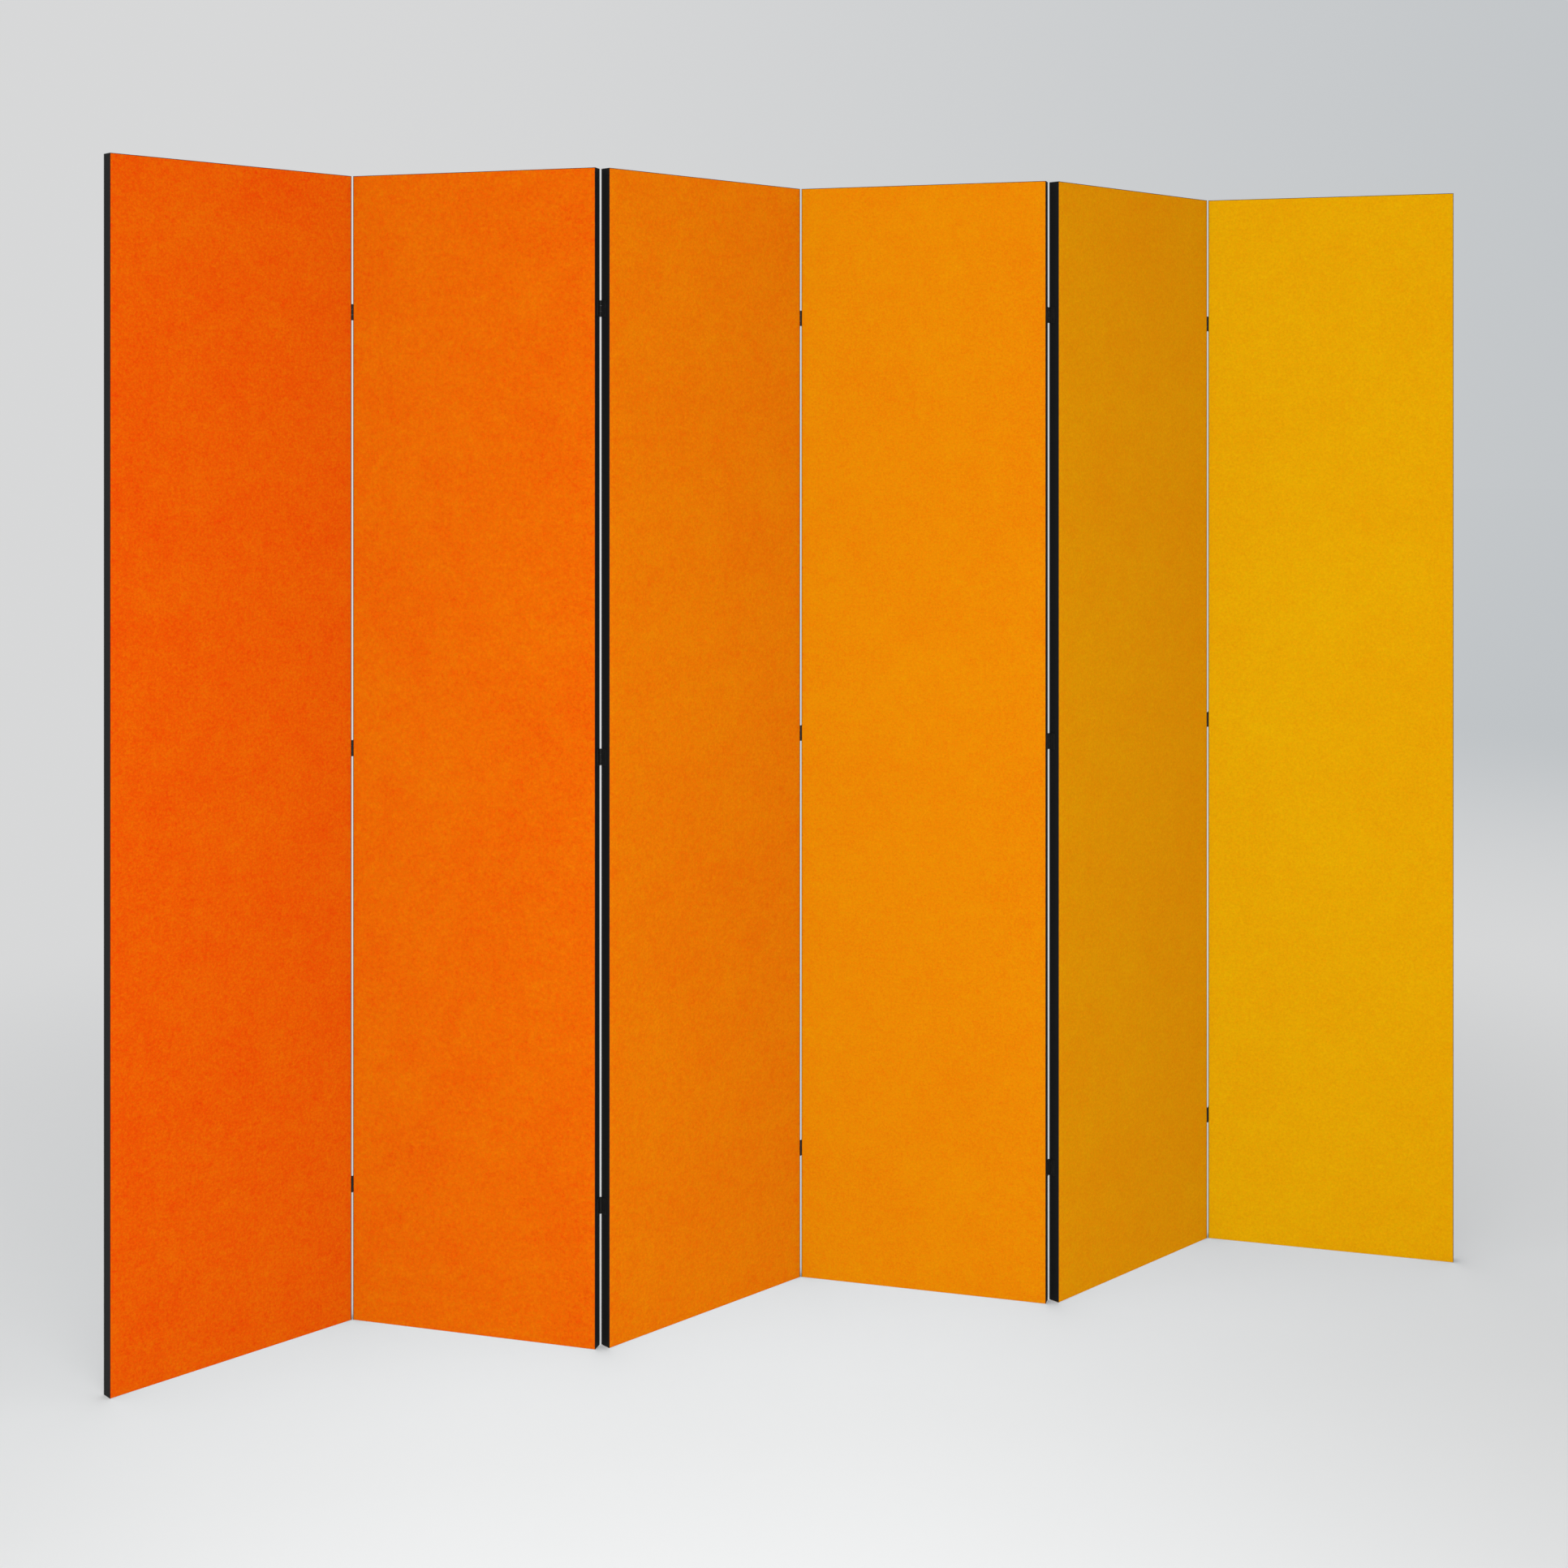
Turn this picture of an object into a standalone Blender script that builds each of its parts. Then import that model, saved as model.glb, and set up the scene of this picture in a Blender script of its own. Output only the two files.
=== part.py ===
"""Six-panel folding screen standing in a zig-zag.

Each panel is a glued-up timber frame round a light infill board, with a felt sheet on each face and a
black band over both sides and the top. Neighbouring panels are joined by three small butt hinges on
their facing edges. The hinge axis lies at the front face of a valley fold and at the back face of a ridge
fold, so that the screen folds up like an accordion and opens out flat.

Metres, +Z up. The panels run from left to right along +X and the front faces look towards -Y. The origin
is under the middle of the screen's box, on the floor.
"""

import math

import bmesh
import bpy
from mathutils import Matrix, Vector

# The screen
PANEL_COUNT = 6
PANEL_WIDTH = 0.4064
PANEL_HEIGHT = 1.800
PANEL_THICKNESS = 0.019
FOLD_ANGLE = math.radians(120)  # between neighbouring panels, as the screen stands
ROOT_PANEL = 3  # the panel that carries the others

# One panel
FELT_THICKNESS = 0.0015
BAND_THICKNESS = 0.0004
FRAME_MEMBER = 0.032  # width of the frame's stiles and rails
SEAT_GAP = 0.0003  # between pieces that touch
FOOT_LIFT = 0.0007  # the felt and the band end this far above the floor

# One hinge
HINGE_HEIGHT = 0.0254
HINGE_FROM_END = 0.214  # centre of the outer hinges, from the top and the bottom of the panel
BARREL_RADIUS = 0.0012
PIN_RADIUS = 0.0005
PIN_CLEARANCE = 0.0002
KNUCKLE_CLEARANCE = 0.0003  # along the pin, and round the knuckle of the other leaf
LEAF_THICKNESS = 0.0009
LEAF_REACH = 0.012  # from the axis to the leaf's far edge
LEAF_CORNER_RADIUS = 0.0015  # at the two far corners
TONGUE_REACH = 0.003  # how far the knuckle's tongue runs into the leaf
TONGUE_INSET = 0.00005  # the tongue is this much thinner than the leaf on each side
AXIS_PROUD = 0.00015  # how far the axis stands off the face that it folds towards
SCREW_HEAD_RADIUS = 0.0021
SCREW_SHANK_RADIUS = 0.0011
SCREW_SPREAD = 0.0145  # between the two screws of a leaf
SCREW_DEPTH = 0.0074  # from the axis to the screws
HOLE_OVERRUN = 0.0003  # how far a hole's cutter stands out of each side of the leaf
BARREL_SIDES = 24
BORE_SIDES = 16
HOLE_SIDES = 16
CORNER_STEPS = 5

# What follows from those sizes
AXIS_TO_EDGE = BARREL_RADIUS + SEAT_GAP  # from the axis to the panel edge on each side
BAND_INSET = BAND_THICKNESS + SEAT_GAP  # from the panel's outline to what lies inside the band
FELT_INSET = FELT_THICKNESS + SEAT_GAP  # from the panel's face to what lies under the felt
CORE_WIDTH = PANEL_WIDTH - 2 * BAND_INSET
CORE_TOP = PANEL_HEIGHT - BAND_INSET
CORE_THICKNESS = PANEL_THICKNESS - 2 * FELT_INSET
KNUCKLE_LENGTH = (HINGE_HEIGHT - 2 * KNUCKLE_CLEARANCE) / 3
OUTER_KNUCKLE_AT = KNUCKLE_LENGTH + KNUCKLE_CLEARANCE
LEAF_BACK = BARREL_RADIUS
LEAF_FRONT = LEAF_BACK - LEAF_THICKNESS
LEAF_START = BARREL_RADIUS + KNUCKLE_CLEARANCE
HINGE_LEVELS = {
    "bottom": HINGE_FROM_END,
    "middle": PANEL_HEIGHT / 2,
    "top": PANEL_HEIGHT - HINGE_FROM_END,
}

# Colours (linear red, green, blue), roughness and metallic value
FELT_COLOURS = [
    (0.85, 0.10, 0.003),
    (0.87, 0.15, 0.003),
    (0.83, 0.21, 0.003),
    (0.88, 0.29, 0.003),
    (0.70, 0.30, 0.003),
    (0.80, 0.42, 0.003),
]
BAND_LOOK = ((0.012, 0.013, 0.014), 0.6, 0.0)
TIMBER_LOOK = ((0.52, 0.36, 0.20), 0.7, 0.0)
INFILL_LOOK = ((0.42, 0.31, 0.19), 0.9, 0.0)
HINGE_LOOK = ((0.015, 0.015, 0.016), 0.4, 0.8)
FELT_ROUGHNESS = 0.95


def clear_scene():
    """Remove whatever the file holds."""
    for item in list(bpy.data.objects):
        bpy.data.objects.remove(item, do_unlink=True)


def material(name, look):
    """A Principled BSDF with a colour, a roughness and a metallic value."""
    colour, roughness, metallic = look
    made = bpy.data.materials.new(name)
    made.use_nodes = True
    shader = made.node_tree.nodes["Principled BSDF"]
    shader.inputs["Base Color"].default_value = (*colour, 1)
    shader.inputs["Roughness"].default_value = roughness
    shader.inputs["Metallic"].default_value = metallic
    made.diffuse_color = (*colour, 1)
    return made


def mesh_of(name, bm):
    """The bmesh as a mesh with outward normals, and the bmesh freed."""
    bmesh.ops.recalc_face_normals(bm, faces=bm.faces)
    mesh = bpy.data.meshes.new(name)
    bm.to_mesh(mesh)
    bm.free()
    return mesh


def box_mesh(name, low, high):
    """A closed box between two corners."""
    low = Vector(low)
    size = Vector(high) - low
    bm = bmesh.new()
    bmesh.ops.create_cube(bm, size=1)
    bmesh.ops.scale(bm, vec=size, verts=bm.verts)
    bmesh.ops.translate(bm, vec=low + size / 2, verts=bm.verts)
    return mesh_of(name, bm)


def rod_mesh(name, radius, length, sides, end_radius=None):
    """A closed rod or cone along Z, centred on the origin; the radius is that of its corners."""
    bm = bmesh.new()
    top = radius if end_radius is None else end_radius
    bmesh.ops.create_cone(bm, cap_ends=True, segments=sides, radius1=radius, radius2=top, depth=length)
    return mesh_of(name, bm)


def guide(mesh, matrix=None):
    """An object that only serves a Boolean."""
    made = bpy.data.objects.new(mesh.name, mesh)
    made.matrix_world = matrix or Matrix()
    made.hide_render = True
    made.display_type = "WIRE"
    bpy.context.scene.collection.objects.link(made)
    return made


def carved(name, base, steps):
    """The base mesh after a row of exact Booleans, each an operation with its tool; the tools are used up."""
    body = guide(base)
    for operation, tool in steps:
        cut = body.modifiers.new(operation, "BOOLEAN")
        cut.operation = operation
        cut.solver = "EXACT"
        cut.object = tool
    bpy.context.view_layer.update()
    shape = body.evaluated_get(bpy.context.evaluated_depsgraph_get())
    mesh = bpy.data.meshes.new_from_object(shape)
    mesh.name = name
    for used in [body] + [tool for _, tool in steps]:
        bpy.data.objects.remove(used, do_unlink=True)
    mesh.shade_smooth()
    mesh.set_sharp_from_angle(angle=math.radians(40))
    return mesh


def frame_mesh():
    """The timber frame: an outline in the panel's plane, inset by the members' width and made thick."""
    low, high = BAND_INSET, PANEL_WIDTH - BAND_INSET
    bm = bmesh.new()
    outline = [(low, 0), (high, 0), (high, CORE_TOP), (low, CORE_TOP)]
    corners = [bm.verts.new((x, FELT_INSET, z)) for x, z in outline]
    panel = bm.faces.new(corners)
    bm.normal_update()
    bmesh.ops.inset_region(bm, faces=[panel], thickness=FRAME_MEMBER, use_boundary=True, use_even_offset=True)
    bmesh.ops.delete(bm, geom=[panel], context="FACES_ONLY")
    ring = bmesh.ops.extrude_face_region(bm, geom=list(bm.faces), use_keep_orig=True)
    back = [part for part in ring["geom"] if isinstance(part, bmesh.types.BMVert)]
    bmesh.ops.translate(bm, vec=(0, CORE_THICKNESS, 0), verts=back)
    return mesh_of("frame", bm)


def core_mesh():
    """The infill board, in the frame's window."""
    margin = FRAME_MEMBER + SEAT_GAP
    low = (BAND_INSET + margin, FELT_INSET, margin)
    high = (PANEL_WIDTH - BAND_INSET - margin, FELT_INSET + CORE_THICKNESS, CORE_TOP - margin)
    return box_mesh("core", low, high)


def felt_mesh(front):
    """One face sheet, inside the band's outline."""
    near = 0 if front else PANEL_THICKNESS - FELT_THICKNESS
    low = (BAND_INSET, near, FOOT_LIFT)
    high = (PANEL_WIDTH - BAND_INSET, near + FELT_THICKNESS, CORE_TOP)
    return box_mesh("front_felt" if front else "back_felt", low, high)


def band_mesh():
    """The edge band: a strip up the left side, over the top and down the right side."""
    inside = BAND_THICKNESS
    outline = [
        (0, FOOT_LIFT),
        (0, PANEL_HEIGHT),
        (PANEL_WIDTH, PANEL_HEIGHT),
        (PANEL_WIDTH, FOOT_LIFT),
        (PANEL_WIDTH - inside, FOOT_LIFT),
        (PANEL_WIDTH - inside, PANEL_HEIGHT - inside),
        (inside, PANEL_HEIGHT - inside),
        (inside, FOOT_LIFT),
    ]
    bm = bmesh.new()
    strip = bm.faces.new([bm.verts.new((x, 0, z)) for x, z in outline])
    grown = bmesh.ops.extrude_face_region(bm, geom=[strip], use_keep_orig=True)
    back = [part for part in grown["geom"] if isinstance(part, bmesh.types.BMVert)]
    bmesh.ops.translate(bm, vec=(0, PANEL_THICKNESS, 0), verts=back)
    return mesh_of("edge_band", bm)


def leaf_corner(side):
    """The rounded far corner of a leaf at its top or its bottom, as points from the far edge to the end."""
    far = LEAF_REACH - LEAF_CORNER_RADIUS
    end = side * (HINGE_HEIGHT / 2 - LEAF_CORNER_RADIUS)
    angles = [math.pi / 2 * step / CORNER_STEPS for step in range(CORNER_STEPS + 1)]
    radius = LEAF_CORNER_RADIUS
    return [(far + radius * math.cos(a), end + side * radius * math.sin(a)) for a in angles]


def leaf_plate():
    """The flat of a leaf, at rest against a panel edge: X runs from the axis into the panel."""
    half = HINGE_HEIGHT / 2
    near = [(LEAF_START, half), (LEAF_START, -half)]
    outline = leaf_corner(1) + near + leaf_corner(-1)[::-1]
    bm = bmesh.new()
    flat = bm.faces.new([bm.verts.new((LEAF_FRONT, y, z)) for y, z in outline])
    grown = bmesh.ops.extrude_face_region(bm, geom=[flat], use_keep_orig=True)
    back = [part for part in grown["geom"] if isinstance(part, bmesh.types.BMVert)]
    bmesh.ops.translate(bm, vec=(LEAF_THICKNESS, 0, 0), verts=back)
    return mesh_of("plate", bm)


def screw_hole(side):
    """The cutter of a countersunk hole, above or below the leaf's middle: wide at the leaf's open face."""
    length = LEAF_THICKNESS + 2 * HOLE_OVERRUN
    slope = (SCREW_HEAD_RADIUS - SCREW_SHANK_RADIUS) / LEAF_THICKNESS
    wide = SCREW_HEAD_RADIUS + slope * HOLE_OVERRUN
    narrow = SCREW_SHANK_RADIUS - slope * HOLE_OVERRUN
    cone = rod_mesh("hole", wide, length, HOLE_SIDES, narrow)
    middle = ((LEAF_FRONT + LEAF_BACK) / 2, SCREW_DEPTH, side * SCREW_SPREAD / 2)
    return guide(cone, Matrix.Translation(middle) @ Matrix.Rotation(math.pi / 2, 4, "Y"))


def knuckle_parts(height):
    """The round of a knuckle and the tongue that joins it to the leaf, centred at this height."""
    half = KNUCKLE_LENGTH / 2
    round_part = rod_mesh("barrel", BARREL_RADIUS, KNUCKLE_LENGTH, BARREL_SIDES)
    barrel = guide(round_part, Matrix.Translation((0, 0, height)))
    low = (LEAF_FRONT + TONGUE_INSET, 0, height - half)
    high = (LEAF_BACK - TONGUE_INSET, TONGUE_REACH, height + half)
    return [("UNION", guide(box_mesh("tongue", low, high))), ("UNION", barrel)]


def holes():
    """The cutters of a leaf's two screw holes."""
    return [("DIFFERENCE", screw_hole(side)) for side in (-1, 1)]


def pin_leaf_mesh():
    """The leaf with the two outer knuckles, which hold the pin."""
    pin = guide(rod_mesh("pin", PIN_RADIUS, 2 * OUTER_KNUCKLE_AT, BORE_SIDES))
    steps = holes()
    for height in (-OUTER_KNUCKLE_AT, OUTER_KNUCKLE_AT):
        steps += knuckle_parts(height)
    steps.append(("UNION", pin))
    return carved("pin_leaf", leaf_plate(), steps)


def free_leaf_mesh():
    """The leaf with the middle knuckle, bored to turn on the pin."""
    bore_radius = (PIN_RADIUS + PIN_CLEARANCE) / math.cos(math.pi / BORE_SIDES)
    bore = guide(rod_mesh("bore", bore_radius, 2 * KNUCKLE_LENGTH, BORE_SIDES))
    steps = holes() + knuckle_parts(0)
    steps.append(("DIFFERENCE", bore))
    return carved("free_leaf", leaf_plate(), steps)


def is_valley(fold):
    """Folds are numbered by the panel on their left; the first is a valley, seen from the front."""
    return fold % 2 == 1


def axis_depth(fold):
    """Where the fold's axis lies across a panel's thickness, from the front face."""
    return -AXIS_PROUD if is_valley(fold) else PANEL_THICKNESS + AXIS_PROUD


def panel_turn(panel):
    """How far a panel is turned about Z from the screen's length."""
    lean = (math.pi - FOLD_ANGLE) / 2
    return lean if panel % 2 == 1 else -lean


def axis_in_panel(panel, fold):
    """The fold's axis in the frame of the panel on its left or on its right."""
    across = PANEL_WIDTH + AXIS_TO_EDGE if fold == panel else -AXIS_TO_EDGE
    return Vector((across, axis_depth(fold), 0))


def panel_frames():
    """Each panel's frame in the world: its front left bottom corner, X to the right, Y to the back."""
    frames = {1: Matrix.Rotation(panel_turn(1), 4, "Z")}
    for panel in range(2, PANEL_COUNT + 1):
        fold = panel - 1
        axis = frames[fold] @ axis_in_panel(fold, fold)
        turn = Matrix.Rotation(panel_turn(panel), 4, "Z")
        frames[panel] = Matrix.Translation(axis - turn @ axis_in_panel(panel, fold)) @ turn
    outline = [Vector((x, y, 0)) for x in (0, PANEL_WIDTH) for y in (0, PANEL_THICKNESS)]
    corners = [frame @ corner for frame in frames.values() for corner in outline]
    low = Vector([min(corner[i] for corner in corners) for i in range(3)])
    high = Vector([max(corner[i] for corner in corners) for i in range(3)])
    centred = Matrix.Translation(-(low + high) / 2)
    return {panel: centred @ frame for panel, frame in frames.items()}


def joint_fold(panel):
    """The fold that carries this panel: the one towards the root panel. The root itself has none."""
    if panel == ROOT_PANEL:
        return None
    return panel if panel < ROOT_PANEL else panel - 1


def body_empties(frames):
    """One empty for each panel, on the axis that it turns about, chained outwards from the root panel."""
    empties = {}
    for panel in sorted(frames, key=lambda number: abs(number - ROOT_PANEL)):
        fold = joint_fold(panel)
        local = Vector((0, 0, 0)) if fold is None else axis_in_panel(panel, fold)
        place = frames[panel] @ Matrix.Translation(local)
        empty = bpy.data.objects.new(f"panel_{panel}_axis", None)
        bpy.context.scene.collection.objects.link(empty)
        if fold is None:
            empty.matrix_world = place
        else:
            carrier = empties[panel + 1 if panel < ROOT_PANEL else panel - 1]
            empty.parent = carrier["empty"]
            empty.matrix_local = carrier["place"].inverted() @ place
        empties[panel] = {"empty": empty, "place": place, "local": local}
    return empties


def add_piece(name, mesh, look, body, at=(0, 0, 0), turn=None):
    """A named object on a panel's empty, placed in the panel's own frame."""
    piece = bpy.data.objects.new(name, mesh)
    bpy.context.scene.collection.objects.link(piece)
    piece.parent = body["empty"]
    piece.matrix_local = Matrix.Translation(Vector(at) - body["local"]) @ (turn or Matrix())
    piece.data.materials.clear()
    piece.data.materials.append(look)
    return piece


def add_panel(panel, body, meshes, looks):
    """The five pieces of one panel."""
    felt = material(f"felt_{panel}", (FELT_COLOURS[panel - 1], FELT_ROUGHNESS, 0.0))
    add_piece(f"panel_{panel}_frame", meshes["frame"], looks["timber"], body)
    add_piece(f"panel_{panel}_core", meshes["core"], looks["infill"], body)
    add_piece(f"panel_{panel}_edge_band", meshes["band"], looks["band"], body)
    add_piece(f"panel_{panel}_front_felt", felt_mesh(front=True), felt, body)
    add_piece(f"panel_{panel}_back_felt", felt_mesh(front=False), felt, body)


def leaf_turn(fold, on_left):
    """How a leaf is turned: its X points into its panel, and its Y away from the face with the axis."""
    if is_valley(fold):
        return Matrix.Rotation(math.pi, 4, "Y") if on_left else Matrix()
    return Matrix.Rotation(math.pi, 4, "Z" if on_left else "X")


def add_hinges(fold, bodies, meshes, looks):
    """The three hinges of one fold: the pin leaves on the left panel, the free leaves on the right one."""
    left, right = fold, fold + 1
    for level, height in HINGE_LEVELS.items():
        name = f"hinge_{left}{right}_{level}"
        for panel, leaf in ((left, "pin_leaf"), (right, "free_leaf")):
            at = axis_in_panel(panel, fold) + Vector((0, 0, height))
            turn = leaf_turn(fold, panel == left)
            add_piece(f"{name}_{leaf}", meshes[leaf], looks["hinge"], bodies[panel], at, turn)


def main():
    clear_scene()
    looks = {
        "timber": material("timber", TIMBER_LOOK),
        "infill": material("infill", INFILL_LOOK),
        "band": material("edge_band", BAND_LOOK),
        "hinge": material("hinge", HINGE_LOOK),
    }
    meshes = {
        "frame": frame_mesh(),
        "core": core_mesh(),
        "band": band_mesh(),
        "pin_leaf": pin_leaf_mesh(),
        "free_leaf": free_leaf_mesh(),
    }
    bodies = body_empties(panel_frames())
    for panel, body in bodies.items():
        add_panel(panel, body, meshes, looks)
    for fold in range(1, PANEL_COUNT):
        add_hinges(fold, bodies, meshes, looks)


main()
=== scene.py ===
"""Six-panel felt folding screen: finishes, felt sheets, hinge screws and a pale studio, round the CAD frame.

Laid out as an add-on and run as a script. Lengths are in metres, in the frame of the CAD model: the
panels stand in a row from left to right along +X, the front faces look towards -Y, and +Z is up.
"""

import math

import bpy
import numpy as np
from bpy.props import FloatProperty, FloatVectorProperty, IntProperty, PointerProperty
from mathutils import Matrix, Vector


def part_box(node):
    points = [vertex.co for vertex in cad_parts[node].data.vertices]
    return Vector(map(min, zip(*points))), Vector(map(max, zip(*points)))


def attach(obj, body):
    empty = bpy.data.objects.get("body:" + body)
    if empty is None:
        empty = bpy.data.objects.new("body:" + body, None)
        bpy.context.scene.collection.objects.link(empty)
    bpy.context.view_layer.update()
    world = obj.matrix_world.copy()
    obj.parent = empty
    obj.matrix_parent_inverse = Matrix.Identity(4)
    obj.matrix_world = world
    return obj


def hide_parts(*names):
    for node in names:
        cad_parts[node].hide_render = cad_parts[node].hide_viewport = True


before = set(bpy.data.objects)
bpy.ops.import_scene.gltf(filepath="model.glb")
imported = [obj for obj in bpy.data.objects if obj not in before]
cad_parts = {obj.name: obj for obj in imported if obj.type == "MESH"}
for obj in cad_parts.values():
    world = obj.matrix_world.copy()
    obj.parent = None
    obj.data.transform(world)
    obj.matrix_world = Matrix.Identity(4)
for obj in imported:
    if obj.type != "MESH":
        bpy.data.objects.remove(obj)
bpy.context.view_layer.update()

bl_info = {
    "name": "Felt Folding Screen",
    "version": (1, 0, 0),
    "blender": (4, 5, 0),
    "location": "View3D > Sidebar > Folding Screen",
    "description": "Finishes a six-panel felt folding screen and sets up its studio",
    "category": "Object",
}

PANELS = range(1, 7)
MILLIMETRE = 0.001
CLOTH_PLACE = "cloth_place"
CUT_EDGE = "cut_edge"
BLACK = (0, 0, 0)
WHITE = (1, 1, 1)


# ------------------------------------------------------------------------------------------ settings


def length(name, description, default):
    """A property that holds a length in metres."""
    return FloatProperty(
        name=name, description=description, default=default, min=0, precision=5, unit="LENGTH"
    )


def colour(name, description, default):
    """A property that holds a linear colour."""
    return FloatVectorProperty(
        name=name, description=description, default=default, min=0, max=1, size=3, subtype="COLOR"
    )


class ScreenSizes(bpy.types.PropertyGroup):
    """Sizes of the felt sheets and of the hinge screws."""

    felt_step: length("Felt grid", "Spacing of the felt sheet's grid", 0.011)
    felt_round: length("Felt edge", "Radius of the felt's cut edge", 0.0005)
    felt_spread: length("Felt spread", "How far the soft felt spreads towards the edge band", 0.0002)
    felt_dip: length("Felt dip", "How deep the felt's slight waves are", 0.00004)
    head_radius: length("Screw head", "Radius of a hinge screw's countersunk head", 0.00192)
    shank_radius: length("Screw shank", "Radius at the bottom of the thread", 0.00075)
    thread_depth: length("Thread depth", "Height of the thread above the shank", 0.00022)
    thread_pitch: length("Thread pitch", "Distance from turn to turn of the thread", 0.0011)
    screw_length: length("Screw length", "From the face of the head to the point", 0.0105)
    screw_spread: length("Screw spread", "Distance between the two screws of a leaf", 0.0145)
    screw_margin: length("Screw margin", "From a leaf's far edge to its screws", 0.0046)
    recess_depth: length("Recess depth", "Depth of the cross recess in a screw head", 0.00055)
    recess_reach: length("Recess reach", "How far the recess runs from the middle of the head", 0.00112)
    recess_width: length("Recess width", "Half the width of an arm of the recess", 0.00026)


class ScreenColours(bpy.types.PropertyGroup):
    """The screen's dyes and paints, as linear colours."""

    felt_1: colour("Felt 1", "Dye of the first panel's felt", (0.922, 0.1140, 0.001))
    felt_2: colour("Felt 2", "Dye of the second panel's felt", (0.895, 0.1467, 0.001))
    felt_3: colour("Felt 3", "Dye of the third panel's felt", (0.937, 0.2072, 0.001))
    felt_4: colour("Felt 4", "Dye of the fourth panel's felt", (0.888, 0.2585, 0.001))
    felt_5: colour("Felt 5", "Dye of the fifth panel's felt", (0.881, 0.3221, 0.001))
    felt_6: colour("Felt 6", "Dye of the sixth panel's felt", (0.880, 0.4073, 0.001))
    band: colour("Edge band", "The black band round the sides and the top", (0.0045, 0.0048, 0.0051))
    hinge: colour("Hinge paint", "The black paint on the hinges", (0.005, 0.005, 0.0049))
    timber: colour("Timber", "The frame's wood between its growth rings", (0.56, 0.39, 0.22))
    timber_ring: colour("Growth ring", "The frame's wood along its growth rings", (0.36, 0.21, 0.10))
    infill: colour("Infill board", "The fibreboard in the frame's window", (0.40, 0.29, 0.18))
    floor: colour("Floor", "The studio floor near the screen", (0.931, 0.928, 0.921))


class ScreenStage(bpy.types.PropertyGroup):
    """The studio's camera and lights."""

    camera_place: FloatVectorProperty(
        name="Camera",
        description="Where the camera stands",
        default=(-0.8949, -3.3993, 1.3869),
        unit="LENGTH",
    )
    camera_turn: FloatProperty(
        name="Camera turn",
        description="The camera's turn about Z",
        default=math.radians(-13.93),
        unit="ROTATION",
    )
    camera_lens: FloatProperty(name="Lens", description="Focal length in millimetres", default=50.05)
    camera_shift: FloatProperty(name="Shift", description="The lens's vertical shift", default=-0.2202)
    key_power: FloatProperty(
        name="Key light", description="Power of the near light in front", default=56
    )
    fill_power: FloatProperty(
        name="Fill light", description="Power of the far light in front", default=30
    )
    top_power: FloatProperty(name="Top light", description="Power of the light above", default=5)
    seed: IntProperty(
        name="Seed", description="Starts the slight random waves and screw turns", default=7
    )


# ------------------------------------------------------------------------------ materials from nodes


class Value:
    """A number that varies over a surface. Arithmetic on it adds the Math nodes that work it out."""

    def __init__(self, nodes, socket):
        self.nodes = nodes
        self.socket = socket

    def maths(self, operation, *terms):
        node = self.nodes.node("ShaderNodeMath", {"operation": operation}, dict(enumerate(terms)))
        return Value(self.nodes, node.outputs[0])

    def __add__(self, other):
        return self.maths("ADD", self, other)

    def __radd__(self, other):
        return self.maths("ADD", other, self)

    def __sub__(self, other):
        return self.maths("SUBTRACT", self, other)

    def __rsub__(self, other):
        return self.maths("SUBTRACT", other, self)

    def __mul__(self, other):
        return self.maths("MULTIPLY", self, other)

    def __rmul__(self, other):
        return self.maths("MULTIPLY", other, self)

    def __truediv__(self, other):
        return self.maths("DIVIDE", self, other)

    def __abs__(self):
        return self.maths("ABSOLUTE", self)

    def power(self, exponent):
        return self.maths("POWER", self, exponent)

    def sine(self):
        return self.maths("SINE", self)

    def at_least(self, lowest):
        return self.maths("MAXIMUM", self, lowest)

    def step(self, start, end):
        """0 before start, 1 after end and an S curve between them."""
        settings = {"interpolation_type": "SMOOTHSTEP"}
        node = self.nodes.node("ShaderNodeMapRange", settings, {0: self, 1: start, 2: end})
        return Value(self.nodes, node.outputs[0])


class Nodes:
    """A node tree in the making."""

    def __init__(self, tree):
        self.tree = tree

    def link(self, source, target):
        self.tree.links.new(getattr(source, "socket", source), target)

    def node(self, kind, settings=None, inputs=None):
        """A node of this type, with its settings first and then the values or links of its sockets."""
        made = self.tree.nodes.new(kind)
        for name, setting in (settings or {}).items():
            setattr(made, name, setting)
        for socket, given in (inputs or {}).items():
            if isinstance(given, (Value, bpy.types.NodeSocket)):
                self.link(given, made.inputs[socket])
            else:
                made.inputs[socket].default_value = given
        return made

    def mix(self, low, high, factor):
        """A colour between two colours; on a ShaderNodeMix the colours are sockets 6 and 7."""
        given = {0: factor, 6: opaque(low), 7: opaque(high)}
        return self.node("ShaderNodeMix", {"data_type": "RGBA"}, given).outputs[2]


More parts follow.
